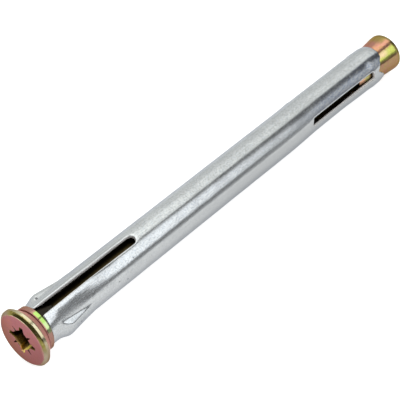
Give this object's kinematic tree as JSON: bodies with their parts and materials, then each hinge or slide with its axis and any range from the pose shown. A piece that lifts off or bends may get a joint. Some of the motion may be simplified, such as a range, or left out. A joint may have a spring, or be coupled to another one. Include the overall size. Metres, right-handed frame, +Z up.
{
  "type": "metal frame fixing",
  "caption": "Through-fixing anchor for frames: a countersunk cross-recess screw in a slotted steel sleeve draws a cone nut in to spread the sleeve's tip in its hole.",
  "frame": {"origin": "bottom centre of the bounding box: the floor under the middle of the fixing as it lies on its side", "axes": "+X along the fixing from the screw's head to the cone nut, +Z up, +Y to the left looking from the head to the nut. The head's rim and the bulge near the tip touch the floor, so the fixing's axis dips by 0.87 degrees towards the nut."},
  "size_m": [0.1322, 0.014, 0.014],
  "materials": {
    "yellow_zinc": "zinc plated steel with a shiny iridescent yellow passivation",
    "clear_zinc": "bright zinc plated steel strip, softly mottled"
  },
  "bodies": {
    "sleeve": {"sleeve": "clear_zinc", "cone_bush": "yellow_zinc"},
    "screw": {"screw": "yellow_zinc"},
    "nut": {"cone_nut": "yellow_zinc"}
  },
  "joints": [
    {"name": "screw_turn", "type": "hinge", "parent": "sleeve", "child": "screw", "pos_m": [-0.06598, 0, 0.00704], "axis": [0.9999, 0, -0.0152], "range_deg": [-4320, 0]},
    {"name": "nut_travel", "type": "slide", "parent": "sleeve", "child": "nut", "axis": [0.9999, 0, -0.0152], "range_m": [0, 0.012]}
  ],
  "couplings": [
    {"joint": "nut_travel", "follows": "screw_turn", "m_per_rad": -0.00015915}
  ]
}
